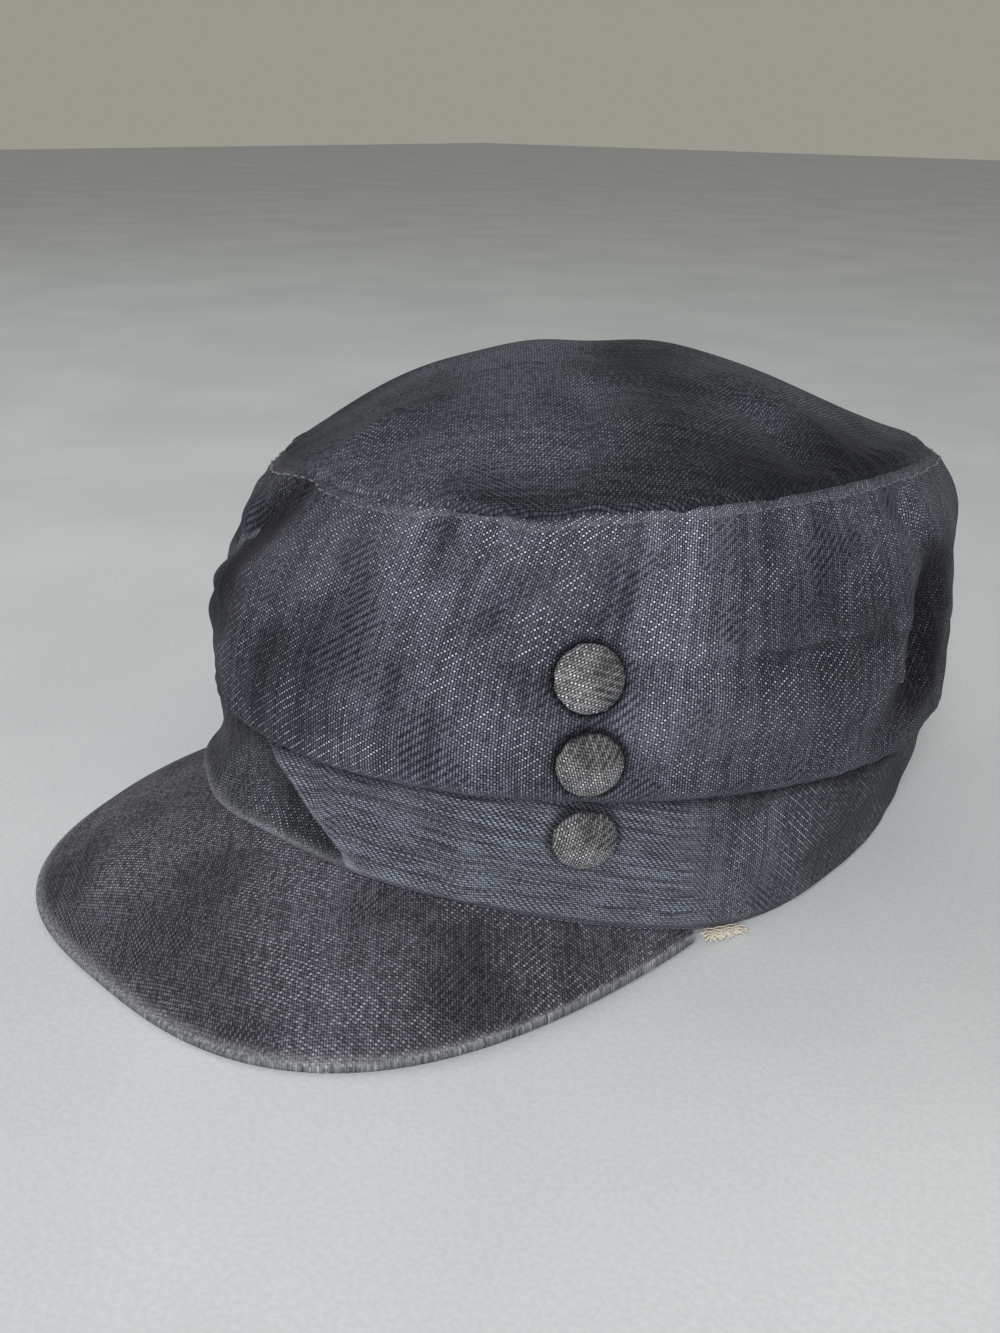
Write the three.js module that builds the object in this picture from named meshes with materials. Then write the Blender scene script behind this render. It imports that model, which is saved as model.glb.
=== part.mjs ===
// A soft military cap with a short peak, lying on its rim and on the edge of the peak.
// Millimetres, +Z up. The peak points along -Y and the wearer's left is +X.
import * as THREE from "three";

// Driving dimensions
const CLOTH = 1.8;
const BAND_CLOTH = 2.4;
const PEAK_THICKNESS = 2.4;
const SEAM_GAP = 0.3;

// Rim: the oval that goes round the head, which the peak lifts off the table at the front.
const RIM = { halfWidth: 78, halfLength: 100.3, squareness: 2.26, shiftX: 0, shiftY: -0.7 };
const RIM_LIFT = { front: 20.7, spread: 52, power: 3 };
const RIM_TUCKS = [
  { angle: 125, halfAngle: 35, depth: -4 },
];

// Seams: the upper edge of the band and the edge of the crown's top.
const BAND_SEAM = { halfWidth: 85.9, halfLength: 101, squareness: 2.0, shiftX: 0, shiftY: -2.6 };
const BAND_SEAM_HEIGHT = { mean: 34.5, frontTilt: 10.4 };
const TOP_SEAM_HEIGHT = { mean: 90.3, frontTilt: 2.6, sideTilt: 3.1 };
const BAND_INSET = 1.2;

// Crown sections, from the band seam (level 0) to the top seam (level 1).
const CROWN_SECTIONS = [
  { level: 0.0, halfWidth: 85.9, halfLength: 101, squareness: 2.0, shiftX: 0, shiftY: -2.6 },
  { level: 0.15, halfWidth: 87.5, halfLength: 101.5, squareness: 2.0, shiftX: 0, shiftY: -2.6 },
  { level: 0.35, halfWidth: 87.5, halfLength: 100, squareness: 2.03, shiftX: 0.5, shiftY: -2 },
  { level: 0.6, halfWidth: 83.5, halfLength: 96, squareness: 2.06, shiftX: 1.2, shiftY: -0.5 },
  { level: 0.85, halfWidth: 76, halfLength: 90, squareness: 2.1, shiftX: 2.8, shiftY: 2 },
  { level: 1.0, halfWidth: 69.3, halfLength: 84.9, squareness: 2.11, shiftX: 3.6, shiftY: 3.4 },
];

// Folds in the crown's side. Angles are degrees from the front toward the wearer's left,
// lean is how far a fold drifts over the full height, and depth is positive outward.
const CROWN_FOLDS = [
  { angle: -35, level: 0, halfAngle: 28, halfLevel: 0.7, lean: 0, depth: -7 },
  { angle: -22, level: 0.62, halfAngle: 6, halfLevel: 0.35, lean: 50, depth: -3 },
  { angle: -10, level: 0.62, halfAngle: 6, halfLevel: 0.35, lean: 50, depth: 2 },
  { angle: 22, level: 0.93, halfAngle: 5, halfLevel: 0.15, lean: 10, depth: -2 },
  { angle: 50, level: 0.93, halfAngle: 4, halfLevel: 0.15, lean: 0, depth: -2 },
  { angle: 100, level: 0.8, halfAngle: 4, halfLevel: 0.15, lean: -35, depth: -3 },
  { angle: 101, level: 0.4, halfAngle: 6, halfLevel: 0.3, lean: 20, depth: 2.5 },
  { angle: 114, level: 0.38, halfAngle: 8, halfLevel: 0.28, lean: 22, depth: -9 },
  { angle: 132, level: 0.4, halfAngle: 12, halfLevel: 0.3, lean: 0, depth: -1.5 },
  { angle: 124, level: 0.8, halfAngle: 14, halfLevel: 0.15, lean: 0, depth: 2 },
];

// Puckers along the top seam: how far the seam rises or sags at an angle.
const SEAM_WAVES = [
  { angle: -50, halfAngle: 25, rise: -1.5 },
  { angle: -10, halfAngle: 8, rise: 2 },
  { angle: 30, halfAngle: 5, rise: -1.5 },
  { angle: 165, halfAngle: 40, rise: -4 },
];

// The crown's top: how high it domes over its seam, and its broad swells and hollows.
const TOP_DOME = { rise: 21, roundness: 2.1, edgeFade: 4 };
const TOP_SWELLS = [
  { x: 12, y: 62, size: 40, rise: -8 },
  { x: -42, y: 0, size: 30, rise: 4 },
  { x: 50, y: -10, size: 14, rise: -1.5 },
];

// Band: the stretch round the front is tucked in behind a fold.
const BAND_TUCK = { from: -75, to: 8, soft: 6, lean: 14, depth: 4 };

// Peak: half a superellipse seen from above, sloping from the raised rim to the table.
const PEAK = { endAngle: 57.5, reach: 94, sidePower: 0.71, tipPower: 0.72, tipShift: -6, bow: 2, endCurl: 6 };
const PEAK_TUCK_IN = 2;
const PEAK_GRID = { columns: 40, rows: 7 };

// Buttons: cloth-covered domes on the wearer's left.
const BUTTON = { radius: 6.5, dome: 2.5, edge: 1.6, roundSteps: 3, domeSteps: 4, around: 20 };
const BUTTONS = [
  { name: "button_upper", on: "crown", angle: 40.5, level: 0.5 },
  { name: "button_middle", on: "crown", angle: 41.8, level: 0.19 },
  { name: "button_lower", on: "band", angle: 41.5, level: 0.74 },
];

// The stretch of frayed lining that shows behind the near end of the peak.
const LINING_EDGE = { fromAngle: 59.5, toAngle: 67, inset: 2, outset: 1, thickness: 1.6, steps: 4 };

// How finely the surfaces are divided.
const AROUND = 72;
const BAND_LEVELS = [0, 0.2, 0.4, 0.6, 0.8, 1];
const CROWN_LEVELS = [0, 0.06, 0.12, 0.2, 0.28, 0.36, 0.44, 0.52, 0.6, 0.68, 0.76, 0.84, 0.9, 0.96, 1];
const TOP_RINGS = [1, 0.95, 0.88, 0.78, 0.66, 0.52, 0.36, 0.18];

const COLOURS = {
  crown: 0x5a6070,
  top: 0x434851,
  band: 0x6c7380,
  peak: 0x5e5c66,
  button: 0x696d75,
  lining: 0xd8cfb8,
};

const radians = (degrees) => (degrees * Math.PI) / 180;
const mix = (a, b, t) => a + (b - a) * t;

// A point on an oval, at an angle from the front toward the wearer's left.
function ovalPoint(oval, angle) {
  const across = Math.abs(Math.sin(angle) / oval.halfWidth) ** oval.squareness;
  const along = Math.abs(Math.cos(angle) / oval.halfLength) ** oval.squareness;
  const radius = (across + along) ** (-1 / oval.squareness);
  return {
    x: oval.shiftX + radius * Math.sin(angle),
    y: oval.shiftY - radius * Math.cos(angle),
  };
}

// Degrees from one angle to another, the short way round.
function degreesBetween(angle, degrees) {
  const turn = (angle * 180) / Math.PI - degrees;
  return turn - 360 * Math.round(turn / 360);
}

const bell = (u) => Math.exp(-u * u);
const softStep = (from, to, x) => THREE.MathUtils.smoothstep(x, from, to);

// A point on the rim, a little inside it (negative) or outside it (positive).
function rimPoint(angle, outward) {
  const oval = ovalPoint(RIM, angle);
  const tucks = RIM_TUCKS.map((row) => row.depth * bell(degreesBetween(angle, row.angle) / row.halfAngle));
  const push = tucks.reduce((sum, depth) => sum + depth, outward);
  return { x: oval.x + push * Math.sin(angle), y: oval.y - push * Math.cos(angle) };
}

const rimHeight = (angle) => {
  const turn = Math.abs(degreesBetween(angle, 0)) / RIM_LIFT.spread;
  return RIM_LIFT.front * Math.exp(-(turn ** RIM_LIFT.power));
};
const bandSeamHeight = (angle) => BAND_SEAM_HEIGHT.mean + BAND_SEAM_HEIGHT.frontTilt * Math.cos(angle);
const topSeamHeight = (angle) => {
  const { mean, frontTilt, sideTilt } = TOP_SEAM_HEIGHT;
  const plane = mean + frontTilt * Math.cos(angle) + sideTilt * Math.sin(angle);
  const waves = SEAM_WAVES.map((row) => row.rise * bell(degreesBetween(angle, row.angle) / row.halfAngle));
  return waves.reduce((sum, rise) => sum + rise, plane);
};

// Crown sections, blended smoothly between the rows of the table.
const SECTION_KEYS = ["halfWidth", "halfLength", "squareness", "shiftX", "shiftY"];
const sectionBlend = new THREE.CubicInterpolant(
  CROWN_SECTIONS.map((row) => row.level),
  CROWN_SECTIONS.flatMap((row) => SECTION_KEYS.map((key) => row[key])),
  SECTION_KEYS.length,
);
function crownSection(level) {
  const values = sectionBlend.evaluate(level);
  return Object.fromEntries(SECTION_KEYS.map((key, i) => [key, values[i]]));
}

// How far the folds push the crown's side outward.
function crownFoldPush(angle, level) {
  const pushes = CROWN_FOLDS.map((row) => {
    const rise = level - row.level;
    const sideways = degreesBetween(angle, row.angle + row.lean * rise) / row.halfAngle;
    return row.depth * bell(sideways) * bell(rise / row.halfLevel);
  });
  return pushes.reduce((sum, push) => sum + push, 0);
}

// Outer surfaces, each a function of the angle and of a level from 0 to 1.
function crownSurface(angle, level) {
  const point = ovalPoint(crownSection(THREE.MathUtils.clamp(level, 0, 1)), angle);
  const push = crownFoldPush(angle, level);
  const height = mix(bandSeamHeight(angle), topSeamHeight(angle) - (SEAM_GAP + CLOTH) / 2, level);
  return new THREE.Vector3(point.x + push * Math.sin(angle), point.y - push * Math.cos(angle), height);
}

function bandSurface(angle, level) {
  const rim = rimPoint(angle, 0);
  const seam = ovalPoint(BAND_SEAM, angle);
  const { from, to, soft, lean, depth } = BAND_TUCK;
  const degrees = degreesBetween(angle, 0);
  const fold = to - lean * (level - 0.5);
  const pastStart = softStep(from - soft, from + soft, degrees);
  const pastFold = softStep(fold - soft, fold + soft, degrees);
  const tucked = pastStart * (1 - pastFold);
  const push = level ** 2 * crownFoldPush(angle, 0) - level * (depth * tucked + BAND_INSET);
  return new THREE.Vector3(
    mix(rim.x, seam.x, level) + push * Math.sin(angle),
    mix(rim.y, seam.y, level) - push * Math.cos(angle),
    mix(rimHeight(angle), bandSeamHeight(angle) - SEAM_GAP, level),
  );
}

function topSurface(angle, ring) {
  const seam = ovalPoint(crownSection(1), angle);
  const x = mix(CROWN_SECTIONS.at(-1).shiftX, seam.x, ring);
  const y = mix(CROWN_SECTIONS.at(-1).shiftY, seam.y, ring);
  const dome = TOP_DOME.rise * (1 - ring ** TOP_DOME.roundness);
  const swells = TOP_SWELLS.map((row) => row.rise * bell(Math.hypot(x - row.x, y - row.y) / row.size));
  const swell = (1 - ring ** TOP_DOME.edgeFade) * swells.reduce((sum, rise) => sum + rise, 0);
  const seat = mix(TOP_SEAM_HEIGHT.mean, topSeamHeight(angle), ring ** 2) + (SEAM_GAP + CLOTH) / 2;
  return new THREE.Vector3(x, y, seat + dome + swell);
}

// The outward normal of such a surface, from small steps along it.
const NORMAL_STEP = 0.004;
function normalOf(surface, angle, level) {
  const low = Math.max(level - NORMAL_STEP, 0);
  const high = Math.min(level + NORMAL_STEP, 1);
  const along = surface(angle + NORMAL_STEP, level).sub(surface(angle - NORMAL_STEP, level));
  const up = surface(angle, high).sub(surface(angle, low));
  return along.cross(up).normalize();
}

// A closed body from rows of points that run round and close: row follows row outside, then back inside.
function bodyFromRows(rows, closed) {
  const count = rows[0].length;
  const positions = rows.flat().flatMap((point) => point.toArray());
  const indices = [];
  rows.forEach((row, r) => {
    const next = (r + 1) % rows.length;
    if (next === 0 && !closed) return;
    for (let i = 0; i < count; i += 1) {
      const j = (i + 1) % count;
      const [a, b, c, d] = [r * count + i, r * count + j, next * count + j, next * count + i];
      indices.push(a, b, c, a, c, d);
    }
  });
  return { positions, indices, count };
}

function geometryOf({ positions, indices }) {
  const geometry = new THREE.BufferGeometry();
  geometry.setAttribute("position", new THREE.Float32BufferAttribute(positions, 3));
  geometry.setIndex(indices);
  geometry.computeVertexNormals();
  return geometry;
}

const anglesAround = Array.from({ length: AROUND }, (_, i) => (2 * Math.PI * i) / AROUND);

// A cloth wall that runs all the way round and is open above and below, with level edges.
function wallGeometry(surface, thickness, levels) {
  const outside = levels.map((level) => anglesAround.map((angle) => surface(angle, level)));
  const inside = levels.map((level) => anglesAround.map((angle) => {
    const inward = normalOf(surface, angle, level);
    inward.z *= Math.sin(Math.PI * level);
    return surface(angle, level).addScaledVector(inward.normalize(), -thickness);
  }));
  return geometryOf(bodyFromRows([...outside, ...inside.reverse()], true));
}

// The domed oval of cloth that closes the crown.
function topGeometry(rings) {
  const outside = rings.map((ring) => anglesAround.map((angle) => topSurface(angle, ring)));
  const inside = rings.map((ring) => anglesAround.map((angle) => {
    const point = topSurface(angle, ring);
    return new THREE.Vector3(point.x, point.y, point.z - CLOTH);
  }));
  const body = bodyFromRows([...inside.reverse(), ...outside], false);
  const middle = topSurface(0, 0);
  const last = body.positions.length / 3;
  body.positions.push(middle.x, middle.y, middle.z, middle.x, middle.y, middle.z - CLOTH);
  const lastRow = last - body.count;
  for (let i = 0; i < body.count; i += 1) {
    const j = (i + 1) % body.count;
    body.indices.push(lastRow + i, lastRow + j, last);
    body.indices.push(j, i, last + 1);
  }
  return geometryOf(body);
}

// The peak: a bowed plate between the rim, under which it is sewn, and its outer edge.
function peakPoint(across, out) {
  const rimAngle = across * radians(PEAK.endAngle);
  const inner = rimPoint(rimAngle, -PEAK_TUCK_IN);
  const end = rimPoint(radians(PEAK.endAngle), 0);
  const turn = (across * Math.PI) / 2;
  const reach = Math.abs(Math.cos(turn));
  const side = Math.sign(turn) * Math.abs(Math.sin(turn)) ** PEAK.sidePower;
  const outer = { x: end.x * side + PEAK.tipShift * reach, y: end.y - PEAK.reach * reach ** PEAK.tipPower };
  const innerZ = rimHeight(rimAngle) - SEAM_GAP;
  const endZ = rimHeight(radians(PEAK.endAngle)) - SEAM_GAP;
  const outerZ = mix(PEAK_THICKNESS, endZ, Math.abs(Math.sin(turn)) ** PEAK.endCurl);
  const bow = PEAK.bow * Math.sin(Math.PI * out) ** 2 * reach;
  const z = mix(innerZ, outerZ, out) + bow;
  return new THREE.Vector3(mix(inner.x, outer.x, out), mix(inner.y, outer.y, out), z);
}

function peakGeometry(columns, rows) {
  const loops = Array.from({ length: columns + 1 }, (_, column) => {
    const across = (2 * column) / columns - 1;
    const top = Array.from({ length: rows + 1 }, (_, row) => peakPoint(across, row / rows));
    const under = top.map((p) => new THREE.Vector3(p.x, p.y, p.z - PEAK_THICKNESS));
    return [...top, ...under.reverse()];
  });
  const body = bodyFromRows(loops, false);
  const lastLoop = columns * body.count;
  for (let i = 0; i < rows; i += 1) {
    const far = body.count - 1 - i;
    body.indices.push(i, far - 1, i + 1, i, far, far - 1);
    body.indices.push(lastLoop + i, lastLoop + i + 1, lastLoop + far - 1);
    body.indices.push(lastLoop + i, lastLoop + far - 1, lastLoop + far);
  }
  return geometryOf(body);
}

// The frayed lining edge: a short flat strip under the band's lower edge.
function liningGeometry() {
  const { fromAngle, toAngle, inset, outset, thickness, steps } = LINING_EDGE;
  const loops = Array.from({ length: steps + 1 }, (_, i) => {
    const angle = radians(mix(fromAngle, toAngle, i / steps));
    const roof = rimHeight(angle) - SEAM_GAP;
    const foot = roof - thickness;
    const at = (outward, z) => {
      const place = rimPoint(angle, outward);
      return new THREE.Vector3(place.x, place.y, z);
    };
    return [at(-inset, roof), at(outset, roof), at(outset, foot), at(-inset, foot)];
  });
  const body = bodyFromRows(loops, false);
  const last = steps * body.count;
  body.indices.push(0, 3, 2, 0, 2, 1);
  body.indices.push(last, last + 1, last + 2, last, last + 2, last + 3);
  return geometryOf(body);
}

// A cloth-covered button: a low dome with a rounded edge and a flat back.
function buttonGeometry() {
  const { radius, dome, edge, roundSteps, domeSteps, around } = BUTTON;
  const profile = [new THREE.Vector2(0, 0), new THREE.Vector2(radius - edge, 0)];
  for (let i = 1; i <= roundSteps; i += 1) {
    const turn = (Math.PI / 2) * (i / roundSteps);
    profile.push(new THREE.Vector2(radius - edge + edge * Math.sin(turn), edge - edge * Math.cos(turn)));
  }
  for (let i = 1; i < domeSteps; i += 1) {
    const turn = (Math.PI / 2) * (i / domeSteps);
    profile.push(new THREE.Vector2(radius * Math.cos(turn), edge + dome * Math.sin(turn)));
  }
  profile.push(new THREE.Vector2(0, edge + dome));
  return new THREE.LatheGeometry(profile, around).rotateX(Math.PI / 2);
}

// Where a button lies: flat on a surface, clear of its highest point below the button.
const SEAT_PROBES = 12;
function buttonSeat(surface, angle, level) {
  const place = surface(angle, level);
  const normal = normalOf(surface, angle, level);
  const reach = BUTTON.radius / BAND_SEAM.halfWidth;
  const heightSpan = BUTTON.radius / (topSeamHeight(angle) - bandSeamHeight(angle));
  let highest = 0;
  for (let i = 0; i < SEAT_PROBES; i += 1) {
    const turn = (2 * Math.PI * i) / SEAT_PROBES;
    const nearLevel = THREE.MathUtils.clamp(level + heightSpan * Math.sin(turn), 0, 1);
    const near = surface(angle + reach * Math.cos(turn), nearLevel);
    highest = Math.max(highest, near.sub(place).dot(normal));
  }
  return { position: place.addScaledVector(normal, highest + SEAM_GAP), normal };
}

const cap = new THREE.Group();

function addPiece(name, geometry, colour) {
  const material = new THREE.MeshStandardMaterial({ color: colour, roughness: 0.95, metalness: 0 });
  const mesh = new THREE.Mesh(geometry, material);
  mesh.name = name;
  cap.add(mesh);
  return mesh;
}

function addButton({ name, on, angle, level }) {
  const button = addPiece(name, buttonGeometry(), COLOURS.button);
  const seat = buttonSeat(on === "band" ? bandSurface : crownSurface, radians(angle), level);
  button.position.copy(seat.position);
  button.quaternion.setFromUnitVectors(new THREE.Vector3(0, 0, 1), seat.normal);
}

addPiece("band", wallGeometry(bandSurface, BAND_CLOTH, BAND_LEVELS), COLOURS.band);
addPiece("crown_side", wallGeometry(crownSurface, CLOTH, CROWN_LEVELS), COLOURS.crown);
addPiece("crown_top", topGeometry(TOP_RINGS), COLOURS.top);
addPiece("peak", peakGeometry(PEAK_GRID.columns, PEAK_GRID.rows), COLOURS.peak);
addPiece("lining_edge", liningGeometry(), COLOURS.lining);
BUTTONS.forEach(addButton);

// The origin is on the table, under the middle of the whole cap.
const box = new THREE.Box3().setFromObject(cap, true);
const middle = box.getCenter(new THREE.Vector3());
cap.position.set(-middle.x, -middle.y, -box.min.z);

export default cap;
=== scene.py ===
import math

import bpy
import numpy as np
from mathutils import Matrix, Vector


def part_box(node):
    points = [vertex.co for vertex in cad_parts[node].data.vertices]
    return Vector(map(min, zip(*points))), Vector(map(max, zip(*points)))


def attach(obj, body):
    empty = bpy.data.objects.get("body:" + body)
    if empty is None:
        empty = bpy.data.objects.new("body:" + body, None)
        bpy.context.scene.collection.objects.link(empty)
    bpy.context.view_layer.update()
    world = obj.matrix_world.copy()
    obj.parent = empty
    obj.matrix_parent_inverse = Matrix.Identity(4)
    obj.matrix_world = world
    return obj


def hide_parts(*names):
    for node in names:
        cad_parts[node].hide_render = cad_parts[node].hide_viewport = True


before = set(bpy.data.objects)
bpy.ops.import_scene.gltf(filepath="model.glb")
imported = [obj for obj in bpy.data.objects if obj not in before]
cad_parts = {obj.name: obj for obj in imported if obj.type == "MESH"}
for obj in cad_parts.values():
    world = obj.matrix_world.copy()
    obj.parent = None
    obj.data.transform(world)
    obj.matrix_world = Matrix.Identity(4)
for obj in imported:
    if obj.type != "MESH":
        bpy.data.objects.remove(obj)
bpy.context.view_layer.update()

# Sizes are in millimetres and angles in degrees until a piece is made.
# Angles run from the front of the cap toward the wearer's left.
MM = 0.001
SEED = 7
SHIFT_X, SHIFT_Y = -0.883, 20.576

CLOTH = 1.8
BAND_CLOTH = 2.4
PEAK_THICKNESS = 2.4
SEAM_GAP = 0.3
BAND_INSET = 1.2
# An oval has five columns. A squareness of 2 is an ellipse, and more is boxier.
OVAL_COLUMNS = ("half_width", "half_length", "squareness", "shift_x", "shift_y")
RIM = (78, 100.3, 2.26, 0, -0.7)
RIM_LIFT = 20.7
RIM_LIFT_SPREAD = 52
RIM_LIFT_POWER = 3
RIM_TUCK_ANGLE, RIM_TUCK_HALF_ANGLE, RIM_TUCK_DEPTH = 125, 35, -4
BAND_SEAM = (85.9, 101, 2.0, 0, -2.6)
BAND_SEAM_MEAN, BAND_SEAM_TILT = 34.5, 10.4
TOP_SEAM_MEAN, TOP_SEAM_FRONT, TOP_SEAM_SIDE = 90.3, 2.6, 3.1

# Crown sections: level from band seam to top seam, then the oval's columns.
CROWN_SECTIONS = [
    (0.0, 85.9, 101, 2.0, 0, -2.6),
    (0.15, 87.5, 101.5, 2.0, 0, -2.6),
    (0.35, 87.5, 100, 2.03, 0.5, -2),
    (0.6, 83.5, 96, 2.06, 1.2, -0.5),
    (0.85, 76, 90, 2.1, 2.8, 2),
    (1.0, 69.3, 84.9, 2.11, 3.6, 3.4),
]

# Folds of the crown's side: angle, level, half angle, half level, lean, depth.
MAIN_FOLDS = [
    (-35, 0, 28, 0.7, 0, -7),
    (-22, 0.62, 6, 0.35, 50, -3),
    (-10, 0.62, 6, 0.35, 50, 2),
    (22, 0.93, 5, 0.15, 10, -2),
    (50, 0.93, 4, 0.15, 0, -2),
    (100, 0.8, 4, 0.15, -35, -3),
    (101, 0.4, 6, 0.3, 20, 2.5),
    (114, 0.38, 8, 0.28, 22, -9),
    (132, 0.4, 12, 0.3, 0, -1.5),
    (124, 0.8, 14, 0.15, 0, 2),
]
# Finer folds of the front and round the buttons, whose valleys also get painted shade.
FACING_FOLDS = [
    (-14, 0.6, 5, 0.35, 14, -2.2),
    (-31, 0.71, 10, 0.12, 0, -2.3),
    (-24, 0.4, 6, 0.09, 0, -1.3),
    (-16, 0.13, 6, 0.06, 0, -1.4),
    (-38, 0.57, 8, 0.1, 0, -0.8),
    (-21, 0.55, 6, 0.06, 0, 1.2),
    (-5, 0.6, 2.8, 0.4, 4, 1.0),
    (-19, 0.7, 2.6, 0.3, -14, 0.9),
    (3, 0.45, 6, 0.3, 20, -1.0),
    (24, 0.6, 6, 0.2, 40, -0.9),
    (33, 0.75, 5, 0.18, 30, 0.8),
    (6, 0.75, 5, 0.2, 30, 0.8),
    (14, 0.92, 2.2, 0.1, 8, 0.8),
    (18, 0.93, 2.0, 0.09, 6, -0.9),
    (27, 0.94, 2.4, 0.09, -6, 0.8),
    (46, 0.94, 2.0, 0.08, 0, 0.7),
    (54, 0.93, 2.2, 0.1, 4, 0.8),
    (64, 0.93, 3.0, 0.12, 6, -0.9),
]
OTHER_FOLDS = [
    (68, 0.5, 17, 0.035, 0, -1.6),
    (68, 0.56, 17, 0.05, 0, 0.7),
    (60, 0.3, 20, 0.1, 0, 0.6),
    (99, 0.45, 5.5, 0.2, 20, -9.5),
    (89, 0.42, 3.2, 0.28, 20, 1.6),
    (112, 0.42, 5, 0.26, 20, 6),
    (104, 0.76, 8, 0.09, 0, 1.8),
    (98, 0.86, 1.8, 0.14, 6, -1.6),
    (94, 0.86, 2.6, 0.12, 6, 0.9),
    (150, 0.5, 8, 0.3, 15, 1.6),
    (163, 0.45, 6, 0.35, -10, -2.2),
    (178, 0.6, 7, 0.3, 12, 1.4),
    (-168, 0.5, 6, 0.35, 10, -1.8),
    (-150, 0.55, 8, 0.3, -12, 1.2),
    (-128, 0.45, 7, 0.3, 14, -1.8),
    (-108, 0.5, 7, 0.3, -10, 1.3),
    (-90, 0.55, 6, 0.3, 12, -1.4),
    (-72, 0.6, 6, 0.3, -8, 0.9),
]
FINE_FOLDS = FACING_FOLDS + OTHER_FOLDS
# Rise and fall of the top seam: angle, half angle, rise.
SEAM_WAVES = [(-50, 25, -1.5), (-10, 8, 2), (30, 5, -1.5), (165, 40, -4)]

TOP_RISE, TOP_ROUNDNESS, TOP_EDGE_FADE, TOP_INSET = 21, 2.1, 4, 0.988
TOP_ROLL_DEPTH, TOP_ROLL_HALF, TOP_RIPPLE, TOP_FINE_RIPPLE = 2.0, 0.01, 0.5, 0.25
# Swells of the top: x, y, size, rise.
TOP_SWELLS = [
    (12, 62, 40, -8), (-42, 0, 30, 4), (50, -10, 14, -1.5),
    (-30, 20, 26, -3), (0, 10, 26, 1.2), (-5, 40, 26, 1), (30, 20, 26, 1.6), (30, 50, 26, -2.3),
]
# Soft creases of the top: x and y of the middle, direction, half length, half width, rise.
TOP_CREASES = [
    (2, -58, 100, 15, 3.2, -1.1),
    (-7, -60, 96, 13, 3.0, 0.8),
    (32, -42, 128, 16, 3.2, -1.3),
    (38, -36, 126, 16, 3.0, 0.9),
    (57, -8, 160, 17, 3.6, -1.8),
    (60, 4, 168, 17, 4.0, 1.2),
    (-32, -28, 40, 30, 6.0, 0.9),
    (-12, 12, 30, 36, 8.0, -0.8),
    (24, 28, 52, 34, 7.0, 0.7),
    (58, 32, 105, 22, 5.0, -1.6),
    (-45, 42, 75, 30, 7.0, -1.0),
]

# The band's front stretch is tucked in behind a folded edge.
TUCK_FROM, TUCK_TO, TUCK_START_SOFT, TUCK_SOFT = -75, 7, 6, 1.0
TUCK_LEAN, TUCK_BOW, TUCK_BOW_TURN, TUCK_DEPTH, TUCK_LOW_SHARE = 13, 0.8, 3.2, 4, 0.35
FOLD_LIP_RISE, FOLD_LIP_OFFSET, FOLD_LIP_HALF = 0.9, 1.6, 1.8
BAND_TURN_ANGLE, BAND_TURN_SOFT = 60, 5

PEAK_END, PEAK_REACH, PEAK_SIDE_POWER, PEAK_TIP_POWER = 57.5, 94, 0.71, 0.72
PEAK_TIP_SHIFT, PEAK_BOW, PEAK_END_CURL, PEAK_TUCK_IN = -6, 2, 6, 2

BUTTON_RADIUS, BUTTON_DOME, BUTTON_EDGE, BUTTON_SHADE_WIDTH = 6.5, 2.5, 1.6, 1.5
# Buttons: name, surface, angle, level, turn of the cloth.
BUTTONS = [
    ("button_upper", "crown", 40.5, 0.5, -62),
    ("button_middle", "crown", 41.8, 0.19, 14),
    ("button_lower", "band", 41.5, 0.74, -14),
]
LINING_FROM, LINING_TO, LINING_FLOOR = 59.5, 66.3, 0.2

rng = np.random.default_rng(SEED)


def mix(a, b, t):
    return a + (b - a) * t


def bell(u):
    return np.exp(-u * u)


def smooth(low, high, x):
    t = np.clip((x - low) / (high - low), 0, 1)
    return t * t * (3 - 2 * t)


def degrees_between(angle, degrees):
    turn = np.degrees(angle) - degrees
    return turn - 360 * np.round(turn / 360)


def oval_point(oval, angle):
    half_width, half_length, squareness, shift_x, shift_y = oval
    across = np.abs(np.sin(angle) / half_width) ** squareness
    along = np.abs(np.cos(angle) / half_length) ** squareness
    radius = (across + along) ** (-1 / squareness)
    return shift_x + radius * np.sin(angle), shift_y - radius * np.cos(angle)


def rim_point(angle, outward):
    x, y = oval_point(RIM, angle)
    from_tuck = degrees_between(angle, RIM_TUCK_ANGLE) / RIM_TUCK_HALF_ANGLE
    push = outward + RIM_TUCK_DEPTH * bell(from_tuck)
    return x + push * np.sin(angle), y - push * np.cos(angle)


def rim_height(angle):
    turn = np.abs(degrees_between(angle, 0)) / RIM_LIFT_SPREAD
    return RIM_LIFT * np.exp(-(turn ** RIM_LIFT_POWER))


def band_seam_height(angle):
    return BAND_SEAM_MEAN + BAND_SEAM_TILT * np.cos(angle)


def top_seam_height(angle):
    height = TOP_SEAM_MEAN + TOP_SEAM_FRONT * np.cos(angle) + TOP_SEAM_SIDE * np.sin(angle)
    for at, half, rise in SEAM_WAVES:
        height = height + rise * bell(degrees_between(angle, at) / half)
    return height


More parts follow.
